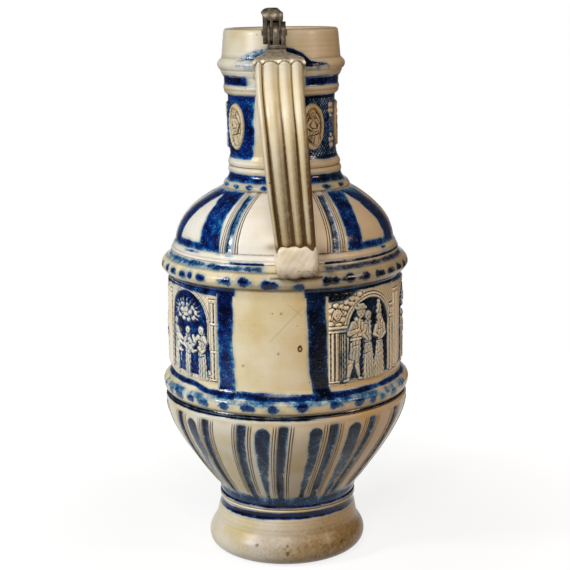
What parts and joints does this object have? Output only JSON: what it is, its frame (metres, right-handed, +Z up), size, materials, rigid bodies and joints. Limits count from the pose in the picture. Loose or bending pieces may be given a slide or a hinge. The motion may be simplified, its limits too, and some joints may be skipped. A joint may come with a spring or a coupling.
{
  "type": "stoneware jug",
  "caption": "Tall salt-glazed stoneware jug: bulging foot, fluted bowl, arcaded relief drum, lobed shoulder, narrow neck, reeded strap handle and a pewter hinge whose lid is lost.",
  "frame": {"origin": "middle of the flat underside, on the axis the jug was turned about", "axes": "+Z up the axis of the body, -Y from the axis to the handle, +X to the right of someone who faces the handle"},
  "size_m": [0.1648, 0.1855, 0.3632],
  "materials": {
    "salt_glazed_stoneware": "salt glaze over grey-cream clay, washed and banded with cobalt blue",
    "cobalt_relief": "pressed clay reliefs on a cobalt blue ground, salt-glazed",
    "neck_relief": "pressed clay reliefs in bare grey-cream clay, salt-glazed",
    "handle_stoneware": "salt glaze over bare clay, worn smooth on the reeds",
    "pewter": "old cast pewter, dull and dented"
  },
  "bodies": {
    "jug": {"foot": "salt_glazed_stoneware", "bowl": "salt_glazed_stoneware", "frieze_drum": "salt_glazed_stoneware", "shoulder": "salt_glazed_stoneware", "neck": "salt_glazed_stoneware", "rim_collar": "salt_glazed_stoneware", "frieze_panel_1": "cobalt_relief", "frieze_panel_2": "cobalt_relief", "frieze_panel_3": "cobalt_relief", "frieze_panel_4": "cobalt_relief", "frieze_panel_5": "cobalt_relief", "frieze_panel_6": "cobalt_relief", "frieze_panel_7": "cobalt_relief", "neck_medallion_1": "neck_relief", "neck_medallion_2": "neck_relief", "neck_medallion_3": "neck_relief", "neck_medallion_4": "neck_relief", "neck_medallion_5": "neck_relief", "neck_medallion_6": "neck_relief", "neck_strap_1": "neck_relief", "neck_strap_2": "neck_relief", "neck_strap_3": "neck_relief", "neck_strap_4": "neck_relief", "neck_strap_5": "neck_relief", "handle": "handle_stoneware", "handle_terminal": "handle_stoneware", "hinge_mount": "pewter", "hinge_pin": "pewter"},
    "lid": {"lid_stub": "pewter"}
  },
  "joints": [
    {"name": "lid_hinge", "type": "hinge", "parent": "jug", "child": "lid", "pos_m": [0, -0.051, 0.348], "axis": [1, 0, 0], "range_deg": [0, 90]}
  ]
}
